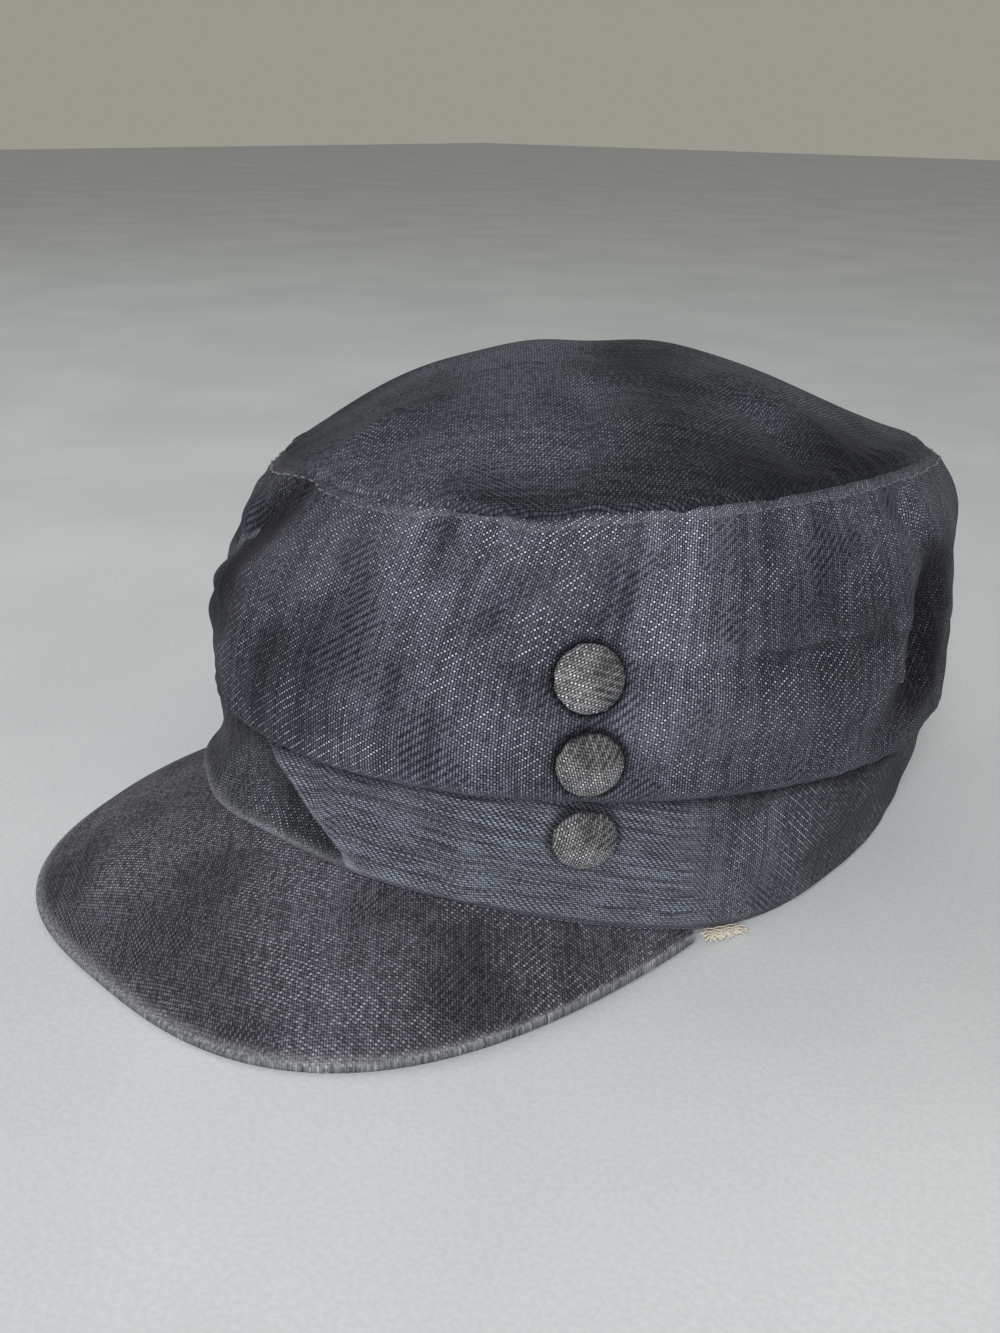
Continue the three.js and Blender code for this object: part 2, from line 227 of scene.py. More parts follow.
def crown_section(level):
    """The crown's oval at each level, blended between the rows by a natural cubic."""
    keys = np.array([row[0] for row in CROWN_SECTIONS], float)
    rows = np.array([row[1:] for row in CROWN_SECTIONS], float)
    level = np.clip(level, 0, 1)
    i = np.clip(np.searchsorted(keys, level, side="right"), 1, len(keys) - 1)
    low, high = keys[i - 1], keys[i]
    before = np.where(i >= 2, keys[np.maximum(i - 2, 0)], high)
    before_row = np.where(i >= 2, i - 2, i)
    last = i + 1 >= len(keys)
    after = np.where(last, low, keys[np.minimum(i + 1, len(keys) - 1)])
    after_row = np.where(last, i - 1, i + 1)
    half = (high - low) * 0.5
    w_before, w_after = half / (low - before), half / (after - high)
    p = (level - low) / (high - low)
    p2, p3 = p * p, p * p * p
    s_before = -w_before * p3 + 2 * w_before * p2 - w_before * p
    s_low = (1 + w_before) * p3 + (-1.5 - 2 * w_before) * p2 + (-0.5 + w_before) * p + 1
    s_high = (-1 - w_after) * p3 + (1.5 + w_after) * p2 + 0.5 * p
    s_after = w_after * p3 - w_after * p2
    weights = ((s_before, before_row), (s_low, i - 1), (s_high, i), (s_after, after_row))
    return tuple(sum(w * rows[r, c] for w, r in weights) for c in range(len(OVAL_COLUMNS)))


def fold_push(folds, angle, level):
    push = 0
    for at, height, half_angle, half_level, lean, depth in folds:
        rise = level - height
        sideways = degrees_between(angle, at + lean * rise) / half_angle
        push = push + depth * bell(sideways) * bell(rise / half_level)
    return push


def waves(count, low, high, size, seed):
    """Rows of a gentle uneven surface: turns around, rise over the height, phase, size."""
    source = np.random.default_rng(seed)
    around = np.round(source.uniform(low, high, count)) * source.choice([-1, 1], count)
    height = source.uniform(-high, high, count) * 0.35
    phase = source.uniform(0, 2 * math.pi, count)
    return list(zip(around, height, phase, size * source.uniform(0.4, 1, count) / math.sqrt(count)))


BROAD_WAVES = waves(14, 5, 14, 1.0, SEED + 1)
SMALL_WAVES = waves(20, 20, 44, 0.3, SEED + 2)
PUCKERS = waves(12, 24, 80, 0.35, SEED + 3)


def wave_push(rows, angle, level):
    push = 0
    for turns, rise, phase, size in rows:
        push = push + size * np.sin(turns * angle + rise * level * 2 + phase)
    return push


# The crown's side, with its lower edge rolled under and its upper edge turned into the seam.
LOWER_ROLL_DEPTH, LOWER_ROLL_HALF = 2.8, 0.03
LOWER_LIP, LOWER_LIP_LEVEL, LOWER_LIP_HALF = 0.5, 0.045, 0.05
LOWER_DROP, LOWER_DROP_HALF = 1.6, 0.05
UPPER_ROLL_DEPTH, UPPER_ROLL_HALF = 0.9, 0.01
UPPER_LIP, UPPER_LIP_LEVEL, UPPER_LIP_HALF = 0.3, 0.965, 0.02
PUCKER_HALF, UPPER_PUCKER_LEVEL, LOWER_PUCKER_LEVEL, LOWER_PUCKER_SHARE = 0.06, 0.95, 0.05, 0.7
SEAM_RIPPLE = 0.35


def crown_surface(angle, level):
    x, y = oval_point(crown_section(level), angle)
    quiet = smooth(0, 0.12, level) * (1 - 0.6 * smooth(0.9, 1, level))
    push = fold_push(MAIN_FOLDS, angle, level) + fold_push(FINE_FOLDS, angle, level)
    push = push + quiet * (wave_push(BROAD_WAVES, angle, level) + wave_push(SMALL_WAVES, angle, level))
    near_seams = bell((level - UPPER_PUCKER_LEVEL) / PUCKER_HALF)
    near_seams = near_seams + LOWER_PUCKER_SHARE * bell((level - LOWER_PUCKER_LEVEL) / PUCKER_HALF)
    push = push + wave_push(PUCKERS, angle, level) * near_seams
    push = push + LOWER_LIP * bell((level - LOWER_LIP_LEVEL) / LOWER_LIP_HALF)
    push = push - LOWER_ROLL_DEPTH * bell(level / LOWER_ROLL_HALF)
    push = push + UPPER_LIP * bell((level - UPPER_LIP_LEVEL) / UPPER_LIP_HALF)
    push = push - UPPER_ROLL_DEPTH * bell((1 - level) / UPPER_ROLL_HALF)
    top = top_seam_height(angle) + SEAM_RIPPLE * wave_push(PUCKERS, angle, 1)
    z = mix(band_seam_height(angle), top, level) - LOWER_DROP * bell(level / LOWER_DROP_HALF)
    return x + push * np.sin(angle), y - push * np.cos(angle), z


# The band, from the hem at level 0 to the crown's seam at level 1.
HEM_LIP, HEM_LIP_LEVEL, HEM_LIP_HALF = 0.5, 0.1, 0.06
HEM_ROLL_DEPTH, HEM_ROLL_HALF = 1.2, 0.05
BAND_RIPPLE = 0.8
# Where the band stands out at the front: angle, half angle, level, half level, size.
FLARES = [(-10, 8, 0.06, 0.14, 2.0), (-32, 16, 0.78, 0.2, 3.0)]


def tuck_marks(angle, level):
    """How much a point is tucked, from 0 to 1, and its degrees past the folded edge."""
    degrees = degrees_between(angle, 0)
    fold = TUCK_TO - TUCK_LEAN * (level - 0.5) + TUCK_BOW * np.sin(level * TUCK_BOW_TURN)
    start = smooth(TUCK_FROM - TUCK_START_SOFT, TUCK_FROM + TUCK_START_SOFT, degrees)
    past = smooth(fold - TUCK_SOFT, fold + TUCK_SOFT, degrees)
    return start * (1 - past), degrees - fold


def band_surface(angle, level):
    rim_x, rim_y = rim_point(angle, 0)
    seam_x, seam_y = oval_point(BAND_SEAM, angle)
    tucked, past_fold = tuck_marks(angle, level)
    lip = FOLD_LIP_RISE * bell((past_fold - FOLD_LIP_OFFSET) / FOLD_LIP_HALF) * smooth(0.02, 0.3, level)
    depth = TUCK_DEPTH * tucked * mix(TUCK_LOW_SHARE, 1, smooth(0, 0.5, level)) * smooth(0, 0.25, level)
    push = level ** 2 * fold_push(MAIN_FOLDS, angle, np.zeros_like(level)) - level * BAND_INSET - depth
    loose = smooth(0, 0.15, level) * (1 - smooth(0.85, 1, level))
    ripple = wave_push(BROAD_WAVES, angle, level + 3) + wave_push(SMALL_WAVES, angle, level * 0.4)
    push = push + lip + loose * BAND_RIPPLE * ripple
    push = push + HEM_LIP * bell((level - HEM_LIP_LEVEL) / HEM_LIP_HALF)
    push = push - HEM_ROLL_DEPTH * bell(level / HEM_ROLL_HALF)
    for at, half_angle, height, half_level, size in FLARES:
        sideways = bell(degrees_between(angle, at) / half_angle)
        push = push + size * sideways * bell((level - height) / half_level)
    x = mix(rim_x, seam_x, level) + push * np.sin(angle)
    y = mix(rim_y, seam_y, level) - push * np.cos(angle)
    z = mix(rim_height(angle), band_seam_height(angle) - SEAM_GAP, level)
    return x, y, z


def top_ripple(x, y):
    broad = TOP_RIPPLE * np.sin(x / 9 + 1.3 * np.sin(y / 14)) * np.sin(y / 11 + x / 23)
    return broad + TOP_FINE_RIPPLE * np.sin(x / 4.1 - y / 6.3)


def top_surface(angle, ring):
    """The crown's top: ring 0 is the middle and ring 1 the seam."""
    seam_x, seam_y = oval_point(crown_section(np.ones_like(angle)), angle)
    middle_x, middle_y = CROWN_SECTIONS[-1][4], CROWN_SECTIONS[-1][5]
    x, y = mix(middle_x, seam_x, ring * TOP_INSET), mix(middle_y, seam_y, ring * TOP_INSET)
    dome = TOP_RISE * (1 - ring ** TOP_ROUNDNESS)
    fade = 1 - ring ** TOP_EDGE_FADE
    swell = 0
    for at_x, at_y, size, rise in TOP_SWELLS:
        swell = swell + rise * bell(np.hypot(x - at_x, y - at_y) / size)
    crease = 0
    for at_x, at_y, direction, half_length, half_width, rise in TOP_CREASES:
        c, s = math.cos(math.radians(direction)), math.sin(math.radians(direction))
        along, aside = (x - at_x) * c + (y - at_y) * s, (y - at_y) * c - (x - at_x) * s
        crease = crease + rise * bell(along / half_length) * bell(aside / half_width)
    soft = smooth(1, 0.9, ring)
    pucker = wave_push(PUCKERS, angle, 1) * bell((ring - 0.96) / 0.05)
    seat = mix(TOP_SEAM_MEAN, top_seam_height(angle), ring ** 2) + (SEAM_GAP + CLOTH) / 2
    roll = SEAM_RIPPLE * wave_push(PUCKERS, angle, 1) * ring ** 8
    roll = roll - TOP_ROLL_DEPTH * bell((1 - ring) / TOP_ROLL_HALF)
    return x, y, seat + dome + fade * swell + soft * (crease + top_ripple(x, y)) + pucker + roll


def peak_point(across, out):
    """The peak's upper side: across runs from -1 to 1, and out from the band to the rim."""
    rim_angle = across * math.radians(PEAK_END)
    inner_x, inner_y = rim_point(rim_angle, -PEAK_TUCK_IN)
    end_angle = np.array([math.radians(PEAK_END)])
    end_x, end_y = (value[0] for value in rim_point(end_angle, 0))
    turn = across * math.pi / 2
    reach = np.abs(np.cos(turn))
    side = np.sign(turn) * np.abs(np.sin(turn)) ** PEAK_SIDE_POWER
    outer_x = end_x * side + PEAK_TIP_SHIFT * reach
    outer_y = end_y - PEAK_REACH * reach ** PEAK_TIP_POWER
    inner_z = rim_height(rim_angle) - SEAM_GAP
    end_z = rim_height(end_angle)[0] - SEAM_GAP
    outer_z = mix(PEAK_THICKNESS, end_z, np.abs(np.sin(turn)) ** PEAK_END_CURL)
    z = mix(inner_z, outer_z, out) + PEAK_BOW * np.sin(math.pi * out) ** 2 * reach
    return mix(inner_x, outer_x, out), mix(inner_y, outer_y, out), z


# Mesh making: a piece is a grid of points with cloth coordinates in metres.
def new_piece(name, points, faces, uvs, marks, replaced, material):
    mesh = bpy.data.meshes.new(name)
    moved = (np.asarray(points, float) + (SHIFT_X, SHIFT_Y, 0)) * MM
    mesh.from_pydata(moved.tolist(), [], faces)
    loops = np.empty(len(mesh.loops), int)
    mesh.loops.foreach_get("vertex_index", loops)
    layer = mesh.uv_layers.new(name="Cloth")
    layer.data.foreach_set("uv", (np.asarray(uvs, float)[loops] * MM).astype(np.float32).ravel())
    colour = mesh.color_attributes.new(name="marks", type="FLOAT_COLOR", domain="POINT")
    full = np.ones((len(points), 4), np.float32)
    full[:, :3] = np.asarray(marks, float)
    colour.data.foreach_set("color", full.ravel())
    mesh.polygons.foreach_set("use_smooth", np.ones(len(mesh.polygons), bool))
    mesh.update()
    mesh.validate()
    piece = bpy.data.objects.new(name, mesh)
    bpy.context.scene.collection.objects.link(piece)
    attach(piece, "root")
    if replaced:
        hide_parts(*replaced)
    mesh.materials.append(material)
    return piece


def stack_marks(wear, region=0, shade=0):
    """The three marks of each point, which the materials read."""
    return np.stack(np.broadcast_arrays(wear, region, shade), -1)


def grid_faces(rows, columns, closed):
    faces = []
    for r in range(rows - 1):
        for c in range(columns if closed else columns - 1):
            d = (c + 1) % columns
            low, high = r * columns, (r + 1) * columns
            faces.append((low + c, low + d, high + d, high + c))
    return faces


def grid_normals(points):
    """Outward normals of a grid of points whose rows run all the way round."""
    along = np.roll(points, -1, 1) - np.roll(points, 1, 1)
    up = np.gradient(points, axis=0)
    normal = np.cross(along, up)
    return normal / np.maximum(np.linalg.norm(normal, axis=-1, keepdims=True), 1e-9)


def turned_cloth(x, y, degrees):
    """Cloth coordinates turned in the plane of x and y."""
    c, s = math.cos(math.radians(degrees)), math.sin(math.radians(degrees))
    return np.stack([x * c + y * s, y * c - x * s], -1)


def wall_piece(name, surface, levels, around, thickness, node, material, marks_of):
    """A cloth wall that runs all the way round: outside, rounded edges and inside."""
    angles = math.pi + np.arange(around) * 2 * math.pi / around
    angle, level = np.meshgrid(angles, levels)
    outside = np.stack(surface(angle, level), -1)
    inward = -grid_normals(outside)
    inward[..., 2] *= np.sin(math.pi * level) * 0.9
    inward /= np.linalg.norm(inward, axis=-1, keepdims=True)
    # The inside has fewer rows than the outside.
    top_row = len(levels) - 1
    steps = [0, len(levels) // 8, len(levels) // 4, len(levels) // 2, 3 * len(levels) // 4, top_row]
    inside = (outside + inward * thickness)[steps][::-1]
    # The cloth coordinates follow the arc at mid height, and the true height at each column.
    middle = outside[len(levels) // 2]
    arc_steps = np.linalg.norm(np.roll(middle, -1, 0) - middle, axis=-1)
    arc = np.concatenate([[0], np.cumsum(arc_steps)])[:-1]
    climb_steps = np.linalg.norm(np.diff(outside, axis=0), axis=-1)
    climb = np.concatenate([np.zeros((1, around)), np.cumsum(climb_steps, 0)])
    u = np.broadcast_to(arc, level.shape)
    us = np.concatenate([u, u[steps][::-1]])
    vs = np.concatenate([climb, climb[steps][::-1]])
    marks = marks_of(angle, level)
    # Inside, the cloth has the same region, a little wear and no shade.
    marks = np.concatenate([marks, marks[steps][::-1] * (0, 1, 0) + (0.1, 0, 0)])
    rows = np.concatenate([outside, inside])
    count = len(rows)
    faces = grid_faces(count, around, True)
    last = (count - 1) * around
    faces += [(last + c, last + (c + 1) % around, (c + 1) % around, c) for c in range(around)]
    uvs = np.stack([us.ravel(), vs.ravel()], -1)
    piece = new_piece(
        name, rows.reshape(-1, 3), faces, uvs, marks.reshape(-1, 3), (node,), material,
    )
    closing_wrap(piece.data, around, arc[-1] + float(np.linalg.norm(middle[0] - middle[-1])))
    return piece


def closing_wrap(mesh, around, length):
    """Carries the cloth coordinate on over the last column of a wall that closes on itself."""
    loops = np.empty(len(mesh.loops), int)
    mesh.loops.foreach_get("vertex_index", loops)
    column = (loops % around).reshape(-1, 4)
    closing = (column == around - 1).any(1) & (column == 0).any(1)
    layer = mesh.uv_layers["Cloth"]
    uv = np.empty(len(loops) * 2, np.float32)
    layer.data.foreach_get("uv", uv)
    uv = uv.reshape(-1, 4, 2)
    uv[..., 0] += (closing[:, None] & (column == 0)) * length * MM
    layer.data.foreach_set("uv", uv.ravel())


# Shader building: short calls that add nodes and take either a socket or a number.
WOBBLE_SCALE, THREAD_CURVE, GROUND_HIGH, FAINTEST_DOT, FAINTEST_PATCH = 120, 3.2, 1.25, 0.25, 0.18
WEAR_GRAIN_SCALE, DUST_SCALE, PLY_SCALE, BUMP_STRENGTH = 1500, 2600, 9000, 0.8


class Cloth:
    def __init__(self, name):
        self.material = bpy.data.materials.new(name)
        self.material.use_nodes = True
        tree = self.material.node_tree
        tree.nodes.clear()
        self.nodes, self.links = tree.nodes, tree.links
        self.shader = self.nodes.new("ShaderNodeBsdfPrincipled")
        output = self.nodes.new("ShaderNodeOutputMaterial")
        self.links.new(self.shader.outputs[0], output.inputs[0])

    def feed(self, socket, value):
        if hasattr(value, "is_output"):
            self.links.new(value, socket)
        elif isinstance(value, tuple):
            socket.default_value = (*value, 1) if len(socket.default_value) == 4 else value
        else:
            socket.default_value = value

    def math(self, operation, a, b=0.0, clamp=False):
        node = self.nodes.new("ShaderNodeMath")
        node.operation = operation
        node.use_clamp = clamp
        for socket, value in zip(node.inputs, (a, b)):
            self.feed(socket, value)
        return node.outputs[0]

    def add(self, a, b):
        return self.math("ADD", a, b)

    def times(self, a, b):
        return self.math("MULTIPLY", a, b)

    def ramp(self, value, low, high, to_low=0.0, to_high=1.0):
        node = self.nodes.new("ShaderNodeMapRange")
        node.interpolation_type = "SMOOTHSTEP"
        for i, part in enumerate((value, low, high, to_low, to_high)):
            self.feed(node.inputs[i], part)
        return node.outputs[0]

    def blend(self, factor, a, b):
        node = self.nodes.new("ShaderNodeMix")
        node.data_type = "RGBA"
        self.feed(node.inputs[0], factor)
        self.feed(node.inputs[6], a)
        self.feed(node.inputs[7], b)
        return node.outputs[2]

    def dim(self, colour, factor):
        node = self.nodes.new("ShaderNodeVectorMath")
        node.operation = "SCALE"
        self.feed(node.inputs[0], colour)
        self.feed(node.inputs[3], factor)
        return node.outputs[0]

    def cloth_place(self):
        """The cloth coordinates in metres: across and up."""
        uv = self.nodes.new("ShaderNodeUVMap")
        uv.uv_map = "Cloth"
        split = self.nodes.new("ShaderNodeSeparateXYZ")
        self.links.new(uv.outputs[0], split.inputs[0])
        return split.outputs[0], split.outputs[1]

    def marks(self):
        """Wear, region and painted shade from the piece."""
        node = self.nodes.new("ShaderNodeVertexColor")
        node.layer_name = "marks"
        split = self.nodes.new("ShaderNodeSeparateColor")
        self.links.new(node.outputs[0], split.inputs[0])
        return split.outputs[0], split.outputs[1], split.outputs[2]

    def join(self, x, y, z=0.0):
        node = self.nodes.new("ShaderNodeCombineXYZ")
        for socket, value in zip(node.inputs, (x, y, z)):
            self.feed(socket, value)
        return node.outputs[0]

    def noise(self, place, scale, detail=2.0, roughness=0.5):
        node = self.nodes.new("ShaderNodeTexNoise")
        self.feed(node.inputs["Vector"], place)
        node.inputs["Scale"].default_value = scale
        node.inputs["Detail"].default_value = detail
        node.inputs["Roughness"].default_value = roughness
        return node.outputs[0]

    def chance(self, value):
        node = self.nodes.new("ShaderNodeTexWhiteNoise")
        node.noise_dimensions = "1D"
        self.feed(node.inputs["W"], value)
        return node.outputs[0]

    def twill(self, u, v, look):
        """Long dark threads crossed by light dots that step sideways thread by thread."""
        place = self.join(u, v)
        wobble = self.times(self.add(self.noise(place, WOBBLE_SCALE, 2), -0.5), look["wobble"])
        threads = self.add(self.math("DIVIDE", u, look["pitch"]), wobble)
        rows = self.add(self.math("DIVIDE", v, look["step"]), wobble)
        index = self.math("FLOOR", threads)
        aside = self.add(self.math("FRACT", threads), -0.5)
        stepped = self.add(rows, self.times(index, look["slant"]))
        along = self.math("FLOORED_MODULO", stepped, look["repeat"])
        # The body of a thread is round across, and swells where it runs over the others.
        off_middle = self.math("POWER", self.math("ABSOLUTE", aside), 2.0)
        round_thread = self.math("SUBTRACT", 1.0, self.times(off_middle, THREAD_CURVE))
        over = self.math("SINE", self.times(self.add(along, -1.0), math.pi / (look["repeat"] - 1)))
        run = self.math("POWER", self.math("MAXIMUM", over, 0.0), look["run"])
        spread = look["thread_range"]
        tone = self.ramp(self.chance(index), 0, 1, 1 - spread, 1 + spread)
        streak_u, streak_v = self.times(u, look["streak_across"]), self.times(v, look["streak_along"])
        streak = self.noise(self.join(streak_u, streak_v), 1, 3)
        streak = self.ramp(streak, 0.3, 0.7, 1 - look["streak"], 1 + look["streak"])
        ground = self.noise(place, look["ground_scale"], 3)
        ground = self.ramp(ground, 0.36, 0.64, look["ground_low"], GROUND_HIGH)
        body = self.times(self.math("POWER", round_thread, 2.0), run)
        body = self.times(body, self.times(self.times(tone, streak), ground))
        # A dot is where a light thread comes over. Some dots are faint, and so are some patches.
        dot_long = self.math("POWER", self.times(self.add(along, -0.5), 2.0), 2.0)
        dot_wide = self.math("POWER", self.times(aside, look["dot_narrow"]), 2.0)
        dot = self.math("SUBTRACT", 1.0, self.add(dot_long, dot_wide), clamp=True)
        row_index = self.math("FLOOR", self.math("DIVIDE", stepped, look["repeat"]))
        luck = self.chance(self.add(self.times(row_index, 7.13), self.times(index, 3.77)))
        luck = self.ramp(luck, 0, 1, FAINTEST_DOT, 1.0)
        patch = self.ramp(self.noise(place, look["patch"], 3), 0.35, 0.62, FAINTEST_PATCH, 1.0)
        dot = self.times(self.math("POWER", dot, 0.7), self.times(luck, patch))
        colour = self.blend(body, look["dark"], look["thread"])
        amount = self.math("MINIMUM", self.times(dot, look["dot"]), 1.0)
        colour = self.blend(amount, colour, look["light"])
        height = self.add(self.times(body, 0.6), self.times(dot, 0.8))
        return colour, height

    def finish(self, colour, height, depth, roughness=0.95, sheen=0.03, tint=(0.85, 0.88, 1.0)):
        s = self.shader.inputs
        self.feed(s["Base Color"], colour)
        self.feed(s["Roughness"], roughness)
        s["Specular IOR Level"].default_value = 0.1
        s["Sheen Weight"].default_value = sheen
        s["Sheen Roughness"].default_value = 0.5
        s["Sheen Tint"].default_value = (*tint, 1)
        bump = self.nodes.new("ShaderNodeBump")
        bump.inputs["Strength"].default_value = BUMP_STRENGTH
        bump.inputs["Distance"].default_value = depth * MM
        self.feed(bump.inputs["Height"], height)
        self.links.new(bump.outputs[0], s["Normal"])
        return self.material


def twill_look(**changes):
    look = dict(
        pitch=0.56 * MM, step=0.47 * MM, repeat=4, slant=-1, wobble=0.9, dot_narrow=2.1, dot=1.0,
        thread_range=0.35, streak=0.3, streak_across=1500, streak_along=300, patch=60,
        ground_scale=22, ground_low=0.6, run=0.8,
        dark=(0.003, 0.0035, 0.006), thread=(0.15, 0.162, 0.215), light=(0.68, 0.71, 0.8),
    )
    look.update(changes)
    return look


def worn(cloth, colour, wear, strength, pale, u, v):
    """Rubs the cloth pale where the wear mark is high, broken up along the threads."""
    place = cloth.join(cloth.times(u, WEAR_GRAIN_SCALE), cloth.times(v, WEAR_GRAIN_SCALE))
    grain = cloth.noise(place, 1, 3)
    amount = cloth.times(wear, cloth.ramp(grain, 0.35, 0.65, 0.3, 1.0))
    return cloth.blend(cloth.math("MINIMUM", cloth.times(amount, strength), 1.0), colour, pale)


def faded(cloth, colour, u, v, scale, low, high):
    """Broad uneven fading and a fine dusty grain."""
    broad = cloth.noise(cloth.join(u, v), scale, 4, 0.6)
    fine = cloth.noise(cloth.join(u, v), DUST_SCALE, 2)
    fading = cloth.ramp(broad, 0.3, 0.7, low, high)
    dust = cloth.ramp(fine, 0.25, 0.75, 0.82, 1.18)
    return cloth.dim(colour, cloth.times(fading, dust))


def shaded(cloth, colour, shade, darkest):
    """Paints shade: dims the cloth where the shade mark is high."""
    return cloth.dim(colour, cloth.ramp(shade, 0, 1, 1.0, darkest))


def crown_material():
    cloth = Cloth("crown_twill")
    u, v = cloth.cloth_place()
    wear, _, shade = cloth.marks()
    colour, height = cloth.twill(u, v, twill_look())
    colour = faded(cloth, colour, u, v, 28, 0.78, 1.2)
    colour = worn(cloth, colour, wear, 0.5, (0.34, 0.37, 0.43), u, v)
    return cloth.finish(shaded(cloth, colour, shade, 0.15), height, 0.22)


def top_material():
    cloth = Cloth("top_twill")
    u, v = cloth.cloth_place()
    wear, _, shade = cloth.marks()
    look = twill_look(
        pitch=0.46 * MM, step=0.6 * MM, repeat=3, dot=0.7, patch=25,
        streak_across=1400, streak_along=160,
        dark=(0.004, 0.005, 0.008), thread=(0.085, 0.096, 0.122), light=(0.36, 0.4, 0.46),
    )
    colour, height = cloth.twill(u, v, look)
    colour = faded(cloth, colour, u, v, 22, 0.8, 1.2)
    colour = worn(cloth, colour, wear, 0.4, (0.2, 0.22, 0.27), u, v)
    return cloth.finish(shaded(cloth, colour, shade, 0.35), height, 0.16)


def band_material():
    cloth = Cloth("band_twill")
    u, v = cloth.cloth_place()
    wear, region, shade = cloth.marks()
    pale_look = twill_look(
        pitch=0.5 * MM, step=0.45 * MM, repeat=3, slant=1, dot=0.4, run=0.45,
        streak=0.6, streak_along=120, thread_range=0.5, ground_low=0.65,
        dark=(0.009, 0.010, 0.014), thread=(0.25, 0.28, 0.345), light=(0.6, 0.65, 0.74),
    )
    dark_look = twill_look(
        step=0.5 * MM, slant=1, thread=(0.15, 0.16, 0.195), light=(0.5, 0.53, 0.6),
    )
    # The pale stretch has its threads level, so its two cloth coordinates change places.
    pale, pale_height = cloth.twill(v, u, pale_look)
    dark, dark_height = cloth.twill(u, v, dark_look)
    colour = cloth.blend(region, pale, dark)
    pale_share = cloth.math("SUBTRACT", 1.0, region)
    height = cloth.add(cloth.times(pale_height, pale_share), cloth.times(dark_height, region))
    colour = faded(cloth, colour, u, v, 30, 0.75, 1.2)
    colour = worn(cloth, colour, wear, 0.7, (0.36, 0.38, 0.42), u, v)
    return cloth.finish(shaded(cloth, colour, shade, 0.3), height, 0.22)


def peak_material():
    cloth = Cloth("peak_twill")
    u, v = cloth.cloth_place()
    wear, _, _ = cloth.marks()
    look = twill_look(
        pitch=0.5 * MM, step=0.5 * MM, repeat=3, dot=0.8, dot_narrow=1.4, wobble=0.5,
        streak=0.5, streak_across=1200, streak_along=400, thread_range=0.3, ground_low=0.7, patch=40,
        dark=(0.009, 0.009, 0.012), thread=(0.128, 0.128, 0.16), light=(0.43, 0.43, 0.5),
    )
    colour, height = cloth.twill(u, v, look)
    colour = faded(cloth, colour, u, v, 18, 0.82, 1.18)
    warm = cloth.ramp(cloth.noise(cloth.join(u, v), 14, 2), 0.4, 0.65)
    colour = cloth.blend(cloth.times(warm, 0.35), colour, cloth.dim(colour, 1.12))
    colour = worn(cloth, colour, wear, 0.85, (0.36, 0.38, 0.39), u, v)
    return cloth.finish(colour, height, 0.14, tint=(0.95, 0.92, 1.0))


def button_material():
    cloth = Cloth("button_twill")
    u, v = cloth.cloth_place()
    _, _, shade = cloth.marks()
    look = twill_look(
        pitch=0.48 * MM, step=0.5 * MM, streak=0.25, thread_range=0.3,
        dark=(0.008, 0.008, 0.01), thread=(0.27, 0.275, 0.29), light=(0.8, 0.81, 0.83),
    )
    colour, height = cloth.twill(u, v, look)
    colour = faded(cloth, colour, u, v, 90, 0.85, 1.15)
    return cloth.finish(shaded(cloth, colour, shade, 0.2), height, 0.2)


def thread_material(name, colour, pale):
    cloth = Cloth(name)
    u, v = cloth.cloth_place()
    ply = cloth.math("SINE", cloth.add(cloth.times(u, PLY_SCALE), cloth.times(v, PLY_SCALE)))
    twist = cloth.ramp(ply, -1, 1)
    grain = cloth.noise(cloth.join(u, v), 1200, 2)
    mixed = cloth.blend(cloth.times(twist, cloth.ramp(grain, 0.3, 0.7)), colour, pale)
    return cloth.finish(mixed, twist, 0.05, 0.85, 0.2, (1.0, 0.98, 0.95))


# The crown's side.
def button_shade(surface, angle, level):
    """The ring of painted shade in the cloth round the foot of each button."""
    place = np.stack(surface(angle, level), -1)
    shade = 0
    for name, *_ in BUTTONS:
        reach = np.linalg.norm(place - button_middle(name), axis=-1)
        shade = shade + bell((reach - BUTTON_RADIUS) / BUTTON_SHADE_WIDTH)
    return shade


def button_middle(name):
    low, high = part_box(name)
    return (np.array(low) + np.array(high)) / 2 / MM - (SHIFT_X, SHIFT_Y, 0)


# Painted shade in the deep crease on the wearer's left, behind the buttons.
CREASE_ANGLE, CREASE_LEVEL, CREASE_HALF_ANGLE, CREASE_HALF_LEVEL, CREASE_LEAN = 100, 0.45, 8, 0.26, 20
VALLEY_SHADE, RIDGE_WEAR = 0.25, 0.25


def crown_marks(angle, level):
    """Worn edges and ridges, and painted shade in the deep crease, the fold valleys, at the sides and
    round the buttons.
    """
    wear = 0.25 * bell((level - 0.03) / 0.02) + 0.35 * bell((level - 0.985) / 0.008)
    folds = fold_push(FINE_FOLDS, angle, level) + 0.4 * fold_push(MAIN_FOLDS, angle, level)
    ridge = np.clip(folds, 0, 2)
    # Painted shade fills the deep crease.
    rise = level - CREASE_LEVEL
    sideways = degrees_between(angle, CREASE_ANGLE + CREASE_LEAN * rise) / CREASE_HALF_ANGLE
    crease_shade = bell(sideways) * bell(rise / CREASE_HALF_LEVEL)
    # Painted shade in the valleys of the finer front folds.
    fold_valley_shade = VALLEY_SHADE * np.clip(-fold_push(FACING_FOLDS, angle, level), 0, 2)
    # Painted shade dims both ends of the stretch round the buttons, but not the back and the wearer's
    # right.
    degrees = degrees_between(angle, 0)
    turned = 0.5 * smooth(34, 0, degrees) * smooth(-85, -55, degrees)
    turned = turned + 0.42 * smooth(40, 68, degrees) * smooth(165, 140, degrees)
    shade = np.clip(crease_shade + fold_valley_shade + turned + button_shade(crown_surface, angle, level), 0, 1)
    return stack_marks(np.clip(wear + RIDGE_WEAR * ridge, 0, 1), shade=shade)


# Levels lie closer together at the seams.
CROWN_LEVELS = np.concatenate([
    np.linspace(0, 0.1, 16), np.linspace(0.1, 0.9, 58)[1:], np.linspace(0.9, 1, 18)[1:],
])
AROUND = 640
wall_piece(
    "crown_side_cloth", crown_surface, CROWN_LEVELS, AROUND, CLOTH, "crown_side",
    crown_material(), crown_marks,
)


